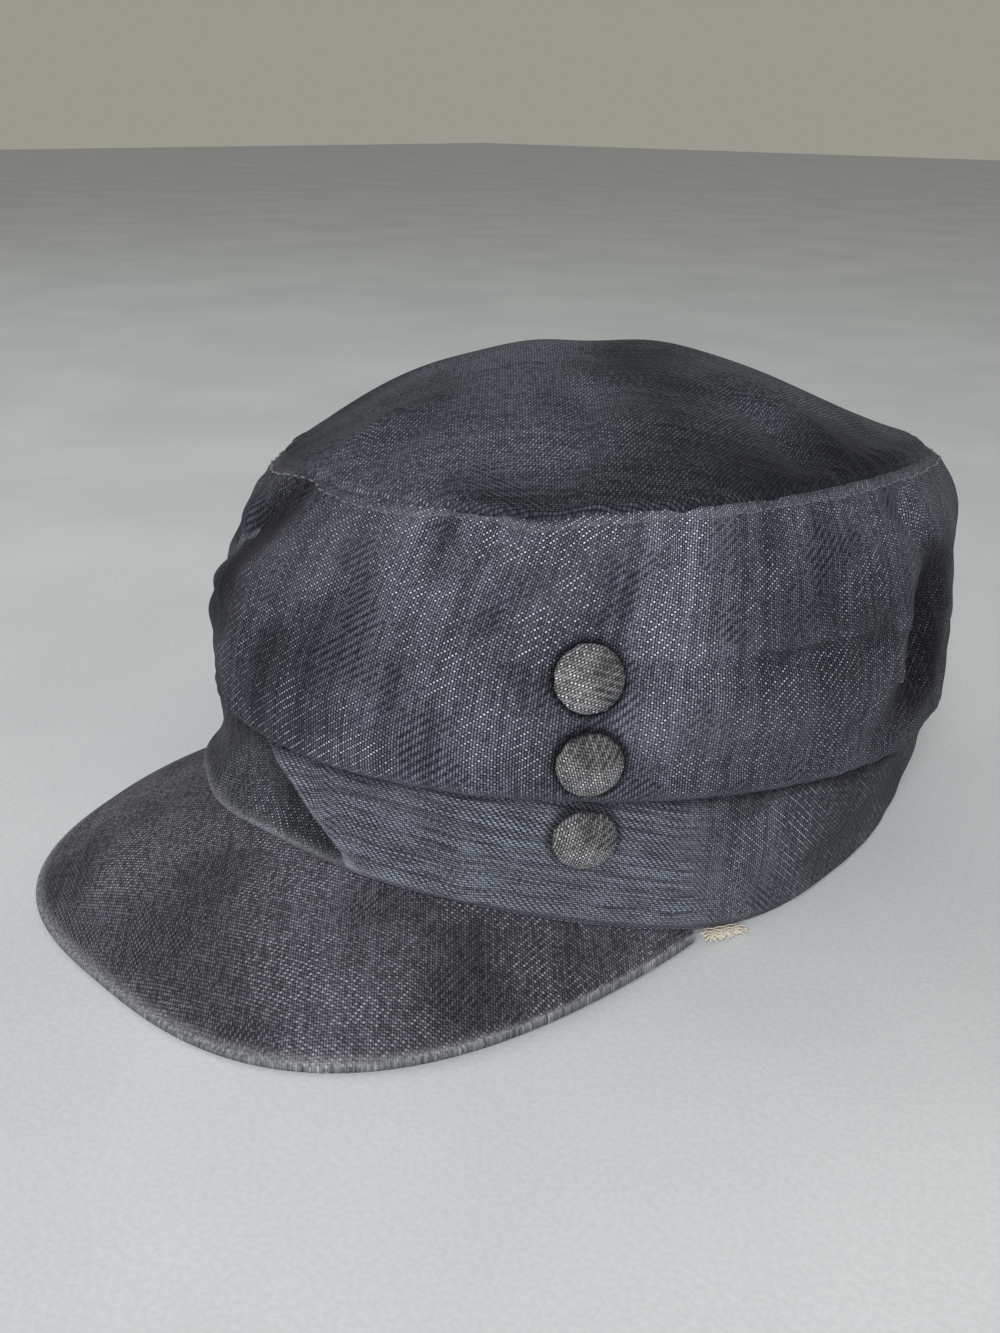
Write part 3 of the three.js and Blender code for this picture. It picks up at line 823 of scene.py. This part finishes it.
# The band, with its worn hem and its front stretch tucked behind the folded edge.
def band_marks(angle, level):
    """A worn hem and fold, the stretches of dark twill, and painted shade behind the fold, under the
    crown, at the far right and round the buttons.
    """
    degrees = degrees_between(angle, 0)
    tucked, past_fold = tuck_marks(angle, level)
    front = smooth(-80, -70, degrees) * (1 - smooth(2, 30, degrees))
    hem = bell((level - 0.06) / 0.06) * mix(0.1, 1, front)
    edge = bell((past_fold - 0.8) / 0.9) * (degrees < 40) * (degrees > -40) * 0.7
    turn_from, turn_to = BAND_TURN_ANGLE - BAND_TURN_SOFT, BAND_TURN_ANGLE + BAND_TURN_SOFT
    region = smooth(turn_from, turn_to, degrees + 4 * level)
    region = np.maximum(region, np.maximum(tucked, smooth(-60, -75, degrees)))
    # Painted shade behind the folded edge, under the crown's overhang, toward the far right and round
    # the buttons.
    behind_fold_shade = tucked * (0.5 + 0.4 * bell(past_fold / 8)) * (1 - 0.6 * bell(level / 0.1))
    under_crown_shade = 0.8 * bell((1 - level) / 0.06) + 0.5 * tucked * smooth(0.7, 1, level)
    far_right_shade = 0.35 * smooth(66, 84, degrees) * smooth(165, 140, degrees)
    shade = behind_fold_shade + under_crown_shade + far_right_shade + button_shade(band_surface, angle, level)
    shade = np.clip(shade, 0, 1)
    return stack_marks(np.clip(hem + edge, 0, 1), region, shade)


BAND_LEVELS = np.concatenate([np.linspace(0, 0.2, 20), np.linspace(0.2, 1, 36)[1:]])
wall_piece(
    "band_cloth", band_surface, BAND_LEVELS, AROUND, BAND_CLOTH, "band",
    band_material(), band_marks,
)


# The crown's top: rings from the seam to the middle, outside and inside.
TOP_AROUND, TOP_CLOTH_TURN, TOP_SEAM_WEAR = 480, -46, 0.3
TOP_RINGS = np.concatenate([1 - np.linspace(0, 0.06, 18), np.linspace(0.94, 0.012, 84)[1:]])
TOP_INNER_RINGS = TOP_RINGS[[0, 6, 17, 30, 45, 60, 80, len(TOP_RINGS) - 1]]


def top_piece():
    angles = math.pi + np.arange(TOP_AROUND) * 2 * math.pi / TOP_AROUND
    angle, ring = np.meshgrid(angles, TOP_RINGS)
    outside = np.stack(top_surface(angle, ring), -1)
    in_angle, in_ring = np.meshgrid(angles, TOP_INNER_RINGS)
    inside = np.stack(top_surface(in_angle, in_ring), -1) - (0, 0, CLOTH)
    rows = np.concatenate([inside[::-1], outside])
    count = len(rows)
    faces = grid_faces(count, TOP_AROUND, True)
    middle = top_surface(np.zeros(1), np.zeros(1))
    middle = np.array([value[0] for value in middle])
    points = np.concatenate([rows.reshape(-1, 3), [middle, middle - (0, 0, CLOTH)]])
    last = (count - 1) * TOP_AROUND
    for c in range(TOP_AROUND):
        d = (c + 1) % TOP_AROUND
        faces.append((last + c, last + d, count * TOP_AROUND))
        faces.append((d, c, count * TOP_AROUND + 1))
    inner_zeros = np.zeros(len(TOP_INNER_RINGS) * TOP_AROUND)
    ring_of = np.concatenate([inner_zeros, np.repeat(TOP_RINGS, TOP_AROUND), [0, 0]])
    wear = TOP_SEAM_WEAR * bell((ring_of - 0.99) / 0.006)
    x, y = points[:, 0], points[:, 1]
    # Painted shade dims the creased part toward the wearer's left front.
    shade = 0.8 * smooth(38, 64, x - 0.25 * y) * smooth(60, 0, y)
    marks = stack_marks(wear, shade=shade)
    uvs = turned_cloth(x, y, TOP_CLOTH_TURN)
    new_piece(
        "crown_top_cloth", points, faces, uvs, marks, ("crown_top",), top_material(),
    )


top_piece()


# The peak: a stiff bowed plate with a rounded, worn rim.
PEAK_CLOTH_TURN = 46
PEAK_COLUMNS, PEAK_ROWS, PEAK_ROUND = 300, 70, 8
PEAK_UNDER_ROWS = [-1, -12, -24, -36, -48, -60, 0]
PEAK_SWELL, PEAK_RIM_DROP, PEAK_SEAM_RISE = 0.35, 0.4, 0.25
RIM_WEAR, RIM_WEAR_HALF, EDGE_WEAR, LOW_EDGE_WEAR = 0.45, 1.0, 0.65, 0.1
FLOOR_CLEARANCE = 0.02


def peak_piece():
    s = np.linspace(-1, 1, PEAK_COLUMNS)
    across = np.sign(s) * (1 - (1 - np.abs(s)) ** 1.3) ** 1.35
    outs = np.linspace(0, 1, PEAK_ROWS)
    column, out = np.meshgrid(across, outs)
    top = np.stack(peak_point(column, out), -1)
    length = np.linalg.norm(top[-1] - top[0], axis=-1)
    rim = np.minimum(PEAK_THICKNESS / 2, 0.35 * length)
    # The rim's rounding takes its room from the last millimetre of the plate.
    outward = (top[-1] - top[0])[:, :2] / np.maximum(length, 1e-6)[:, None]
    keep = 1 - rim / np.maximum(length, 1e-6)
    top = np.stack(peak_point(column, out * keep[None, :]), -1)
    from_rim = (1 - out) * length
    swell = PEAK_SWELL * np.sin(top[..., 0] / 13 + 0.8) * np.sin(top[..., 1] / 17)
    swell = swell * np.sin(math.pi * out) ** 0.5
    rim_shape = PEAK_SEAM_RISE * bell((from_rim - 4.5) / 1.6) - PEAK_RIM_DROP * bell(from_rim / 2.2)
    top[..., 2] += swell + rim_shape
    turns = np.linspace(0, math.pi, PEAK_ROUND + 2)[1:-1]
    edge = []
    for turn in turns:
        ring = top[-1].copy()
        ring[:, :2] += outward * (rim * math.sin(turn))[:, None]
        ring[:, 2] -= PEAK_THICKNESS / 2 * (1 - math.cos(turn))
        edge.append(ring)
    under = top[PEAK_UNDER_ROWS] - (0, 0, PEAK_THICKNESS)
    rows = np.concatenate([top, np.array(edge), under])
    rows[..., 2] = np.maximum(rows[..., 2], FLOOR_CLEARANCE)
    count = len(rows)
    faces = [face[::-1] for face in grid_faces(count, PEAK_COLUMNS, False)]
    # The two short ends and the inner edge are closed.
    last = (count - 1) * PEAK_COLUMNS
    for c in range(PEAK_COLUMNS - 1):
        faces.append((c, c + 1, last + c + 1, last + c))
    faces.append(tuple(r * PEAK_COLUMNS for r in range(count)))
    faces.append(tuple(r * PEAK_COLUMNS + PEAK_COLUMNS - 1 for r in reversed(range(count))))
    points = rows.reshape(-1, 3)
    top_wear = RIM_WEAR * bell(from_rim / RIM_WEAR_HALF)
    edge_wear = np.repeat(np.linspace(EDGE_WEAR, LOW_EDGE_WEAR, len(edge))[:, None], PEAK_COLUMNS, 1)
    under_wear = np.zeros(under.shape[:2])
    under_wear[0] = 0.15
    wear = np.concatenate([top_wear, edge_wear, under_wear]).ravel()
    marks = stack_marks(wear)
    uvs = turned_cloth(points[:, 0], points[:, 1], PEAK_CLOTH_TURN)
    new_piece("peak_cloth", points, faces, uvs, marks, ("peak",), peak_material())


peak_piece()


# The buttons: cloth pulled over a dome, gathered under its edge.
def surface_normal(surface, angle, level, step=0.004):
    """The outward direction of a surface at one angle and level."""
    def at(a, b):
        return np.array([value[0] for value in surface(np.array([a]), np.array([b]))])
    along = at(angle + step, level) - at(angle - step, level)
    up = at(angle, min(level + step, 1)) - at(angle, max(level - step, 0))
    normal = np.cross(along, up)
    return normal / np.linalg.norm(normal)


BUTTON_AROUND, BUTTON_RINGS, BUTTON_EDGE_SHARE = 96, 26, 0.35
GATHER_DEPTH, GATHER_LEVEL, BUTTON_OVAL = 0.1, 0.9, 0.012


def button_profile():
    """Radius and height from the foot of a button, round its edge, to the top of its dome."""
    profile = []
    for t in np.linspace(0, 1, BUTTON_RINGS):
        if t < BUTTON_EDGE_SHARE:
            turn = math.pi / 2 * t / BUTTON_EDGE_SHARE
            radius = BUTTON_RADIUS - BUTTON_EDGE * (1 - math.sin(turn))
            profile.append((radius, BUTTON_EDGE * (1 - math.cos(turn))))
        else:
            turn = math.pi / 2 * (t - BUTTON_EDGE_SHARE) / (1 - BUTTON_EDGE_SHARE)
            rise = BUTTON_EDGE + BUTTON_DOME * math.sin(turn)
            profile.append((BUTTON_RADIUS * math.cos(turn), rise))
    return profile


def button_piece(name, surface, angle, level, cloth_turn, material, lean):
    middle = button_middle(name)
    normal = Vector(surface_normal(surface, math.radians(angle), level))
    side = Vector((0, 0, 1)).cross(normal).normalized()
    up = normal.cross(side)
    frame_turn = np.array([side, up, normal]).T
    height = BUTTON_DOME + BUTTON_EDGE
    profile = button_profile()
    turns = np.arange(BUTTON_AROUND) * 2 * math.pi / BUTTON_AROUND
    gather = sum(np.sin(n * turns + p) for n, p in ((11, lean), (17, 2 * lean), (7, 3 * lean)))
    oval = 1 + BUTTON_OVAL * np.cos(2 * (turns - lean))
    rows, flat = [], []
    for radius, rise in profile:
        edge = bell((rise - GATHER_LEVEL) / GATHER_LEVEL)
        r = radius * oval + GATHER_DEPTH * gather * edge
        rows.append(np.stack([r * np.cos(turns), r * np.sin(turns), np.full_like(turns, rise)], -1))
        reach = radius if rise >= BUTTON_EDGE else BUTTON_RADIUS + (BUTTON_EDGE - rise)
        flat.append(np.stack([reach * np.cos(turns), reach * np.sin(turns)], -1))
    count = len(rows)
    local = np.concatenate(rows)
    local[:, 2] -= height / 2
    points = local @ frame_turn.T + middle
    faces = grid_faces(count, BUTTON_AROUND, True)
    faces = [face for face in faces if face[0] < (count - 2) * BUTTON_AROUND]
    keep = (count - 1) * BUTTON_AROUND
    poles = np.array([(0, 0, height / 2), (0, 0, -height / 2)]) @ frame_turn.T + middle
    points = np.concatenate([points[:keep], poles])
    last = keep - BUTTON_AROUND
    for c in range(BUTTON_AROUND):
        d = (c + 1) % BUTTON_AROUND
        faces.append((last + c, last + d, keep))
        faces.append((d, c, keep + 1))
    spread = np.concatenate([np.concatenate(flat)[:keep], [[0, 0], [0, 0]]])
    uvs = turned_cloth(spread[:, 0], spread[:, 1], cloth_turn)
    rises = np.repeat([rise for _, rise in profile[:-1]], BUTTON_AROUND)
    # Painted shade darkens the low edge of each button, where it meets the cloth.
    low_edge_shade = np.concatenate([1 - smooth(0.5, 2.6, rises), [0, 1]])
    marks = stack_marks(0, shade=low_edge_shade)
    new_piece(name + "_cloth", points, faces, uvs, marks, (name,), material)


BUTTON_CLOTH = button_material()
SURFACES = {"crown": crown_surface, "band": band_surface}
for number, (name, on, angle, level, cloth_turn) in enumerate(BUTTONS):
    button_piece(name, SURFACES[on], angle, level, cloth_turn, BUTTON_CLOTH, 0.7 + number)


# Threads: thin tubes along short paths, all in one mesh.
TUBE_GUIDE = np.array([0.31, 0.17, 0.93])


def tubes_piece(name, paths, radius, sides, material, replaced=()):
    points, faces, uvs = [], [], []
    for path in paths:
        path = np.asarray(path, float)
        tangent = np.gradient(path, axis=0)
        tangent /= np.maximum(np.linalg.norm(tangent, axis=1, keepdims=True), 1e-9)
        a = np.cross(tangent, TUBE_GUIDE)
        a /= np.linalg.norm(a, axis=1, keepdims=True)
        b = np.cross(tangent, a)
        run = np.concatenate([[0], np.cumsum(np.linalg.norm(np.diff(path, axis=0), axis=1))])
        base = len(points)
        swell = np.sin(np.linspace(0.25, math.pi - 0.25, len(path))) ** 0.5
        for i in range(len(path)):
            for k in range(sides):
                turn = 2 * math.pi * k / sides
                spot = path[i] + radius * swell[i] * (a[i] * math.cos(turn) + b[i] * math.sin(turn))
                points.append(spot)
                uvs.append((run[i], radius * turn))
        for i in range(len(path) - 1):
            for k in range(sides):
                m = (k + 1) % sides
                faces.append((base + i * sides + k, base + i * sides + m,
                              base + (i + 1) * sides + m, base + (i + 1) * sides + k))
        faces.append(tuple(base + k for k in reversed(range(sides))))
        faces.append(tuple(base + (len(path) - 1) * sides + k for k in range(sides)))
    marks = np.zeros((len(points), 3))
    new_piece(name, points, faces, uvs, marks, replaced, material)


# Stitches along the top seam.
STITCH_SPACING, STITCH_LENGTH, STITCH_RADIUS, STITCH_LEVEL = 2.6, 1.7, 0.24, 0.975
SEAM_RADIUS = 77
STITCH_LIFT = np.array([-0.1, 0.14, 0.2, 0.14, -0.1])


def seam_stitches():
    count = int(2 * math.pi * SEAM_RADIUS / STITCH_SPACING)
    paths = []
    for i in range(count):
        middle = 2 * math.pi * i / count + rng.uniform(-0.004, 0.004)
        half = STITCH_LENGTH / SEAM_RADIUS / 2
        angles = np.linspace(middle - half, middle + half, len(STITCH_LIFT))
        level = STITCH_LEVEL + rng.uniform(-0.002, 0.002)
        x, y, z = crown_surface(angles, np.full(len(STITCH_LIFT), level))
        x, y = x + STITCH_LIFT * np.sin(angles), y - STITCH_LIFT * np.cos(angles)
        paths.append(np.stack([x, y, z + STITCH_LIFT * 0.5], -1))
    return paths


tubes_piece(
    "top_seam_stitches", seam_stitches(), STITCH_RADIUS, 6,
    thread_material("seam_thread", (0.05, 0.055, 0.07), (0.3, 0.32, 0.38)),
)


# The frayed lining edge under the band's hem: loose fibres and a short woven strip.
FIBRES, FIBRE_RADIUS, STRIP_THREADS = 90, 0.16, 7


def lining_paths():
    paths = []
    for _ in range(FIBRES):
        angle = math.radians(rng.uniform(LINING_FROM, LINING_TO))
        start_x, start_y = rim_point(np.array([angle]), rng.uniform(-1.0, 1.2))
        roof = float(rim_height(np.array([angle]))[0]) - SEAM_GAP - rng.uniform(0.2, 0.9)
        drop = rng.uniform(0.0, 0.25) * roof
        drift, out = rng.normal(0, 1.2), rng.uniform(0.0, 1.1)
        curl, phase = rng.uniform(0.1, 0.5), rng.uniform(0, 6.3)
        t = np.linspace(0, 1, 9)
        outward, sideways = out * t ** 1.5, drift * t
        x = start_x + outward * math.sin(angle) + sideways * math.cos(angle)
        y = start_y - outward * math.cos(angle) + sideways * math.sin(angle)
        x = x + curl * np.sin(5 * t + phase) * t
        y = y + curl * np.cos(4 * t + phase) * t
        z = np.maximum(roof - drop * t, LINING_FLOOR)
        paths.append(np.stack([x, y, z], -1))
    for i in range(STRIP_THREADS):
        outward = mix(-1.6, 0.9, i / (STRIP_THREADS - 1))
        degrees = np.linspace(LINING_FROM, LINING_TO, 24)
        angles = np.radians(degrees)
        x, y = rim_point(angles, outward + 0.15 * np.sin(degrees * 3 + i))
        z = rim_height(angles) - SEAM_GAP - 0.35 - 0.5 * (i % 2) + 0.08 * np.sin(degrees * 9 + 2 * i)
        paths.append(np.stack([x, y, np.maximum(z, LINING_FLOOR)], -1))
    return paths


tubes_piece(
    "lining_fray", lining_paths(), FIBRE_RADIUS, 5,
    thread_material("lining_thread", (0.6, 0.54, 0.43), (0.9, 0.86, 0.78)), ("lining_edge",),
)


# Floor, light and camera.
def floor_material():
    cloth = Cloth("floor")
    place = cloth.nodes.new("ShaderNodeNewGeometry").outputs["Position"]
    broad = cloth.ramp(cloth.noise(place, 9, 3), 0.3, 0.7)
    fine = cloth.noise(place, 900, 2)
    colour = cloth.blend(broad, (0.56, 0.6, 0.63), (0.62, 0.66, 0.69))
    colour = cloth.dim(colour, cloth.ramp(fine, 0.3, 0.7, 0.96, 1.03))
    return cloth.finish(colour, fine, 0.05, sheen=0.05)


FLOOR_HALF = 5.0
floor_mesh = bpy.data.meshes.new("floor")
corners = [(x * FLOOR_HALF, y * FLOOR_HALF, 0) for x, y in ((-1, -1), (1, -1), (1, 1), (-1, 1))]
floor_mesh.from_pydata(corners, [], [(0, 1, 2, 3)])
floor = bpy.data.objects.new("floor", floor_mesh)
bpy.context.scene.collection.objects.link(floor)
floor_mesh.materials.append(floor_material())

# Colours show as they are, without a film look.
bpy.context.scene.view_settings.view_transform = "Standard"

world = bpy.data.worlds.new("studio")
bpy.context.scene.world = world
world.use_nodes = True
background = world.node_tree.nodes["Background"]
background.inputs["Color"].default_value = (0.93, 0.89, 0.78, 1)
background.inputs["Strength"].default_value = 0.36


LIGHT_AIM = Vector((0, 0, 0.04))


def soft_light(name, place, size, power, colour):
    data = bpy.data.lights.new(name, "AREA")
    data.shape, data.size, data.energy, data.color = "DISK", size, power, colour
    lamp = bpy.data.objects.new(name, data)
    lamp.location = place
    lamp.rotation_euler = (LIGHT_AIM - Vector(place)).to_track_quat("-Z", "Y").to_euler()
    bpy.context.scene.collection.objects.link(lamp)


soft_light("key", (0.76, -1.06, 0.8), 0.6, 22.5, (1.0, 0.99, 0.98))
soft_light("fill", (-0.9, -0.3, 1.0), 1.0, 2.2, (0.97, 0.98, 1.0))

# The camera sees the photograph's frame, 1000 by 1333 pixels, from the cap's left front.
PHOTO_HEIGHT, FOCAL_PIXELS, SENSOR = 1333, 1300, 36
CAMERA_TARGET = Vector((-21.9, 10.6, 26.5)) * MM
CAMERA_TURN, CAMERA_PITCH, CAMERA_ROLL = math.radians(44), math.radians(23.2), math.radians(0.6)
CAMERA_DISTANCE, CAMERA_NEAR = 347 * MM, 10 * MM


def place_camera():
    data = bpy.data.cameras.new("photo_view")
    data.sensor_width = SENSOR
    data.lens = SENSOR * FOCAL_PIXELS / PHOTO_HEIGHT
    data.clip_start = CAMERA_NEAR
    camera = bpy.data.objects.new("photo_view", data)
    level_look = Vector((-math.sin(CAMERA_TURN), math.cos(CAMERA_TURN), 0)) * math.cos(CAMERA_PITCH)
    look = level_look - Vector((0, 0, math.sin(CAMERA_PITCH)))
    right = look.cross(Vector((0, 0, 1))).normalized()
    up = right.cross(look)
    rolled_right = right * math.cos(CAMERA_ROLL) + up * math.sin(CAMERA_ROLL)
    rolled_up = up * math.cos(CAMERA_ROLL) - right * math.sin(CAMERA_ROLL)
    turn = Matrix((rolled_right, rolled_up, -look)).transposed().to_4x4()
    turn.translation = CAMERA_TARGET - look * CAMERA_DISTANCE
    camera.matrix_world = turn
    bpy.context.scene.collection.objects.link(camera)
    bpy.context.scene.camera = camera


place_camera()
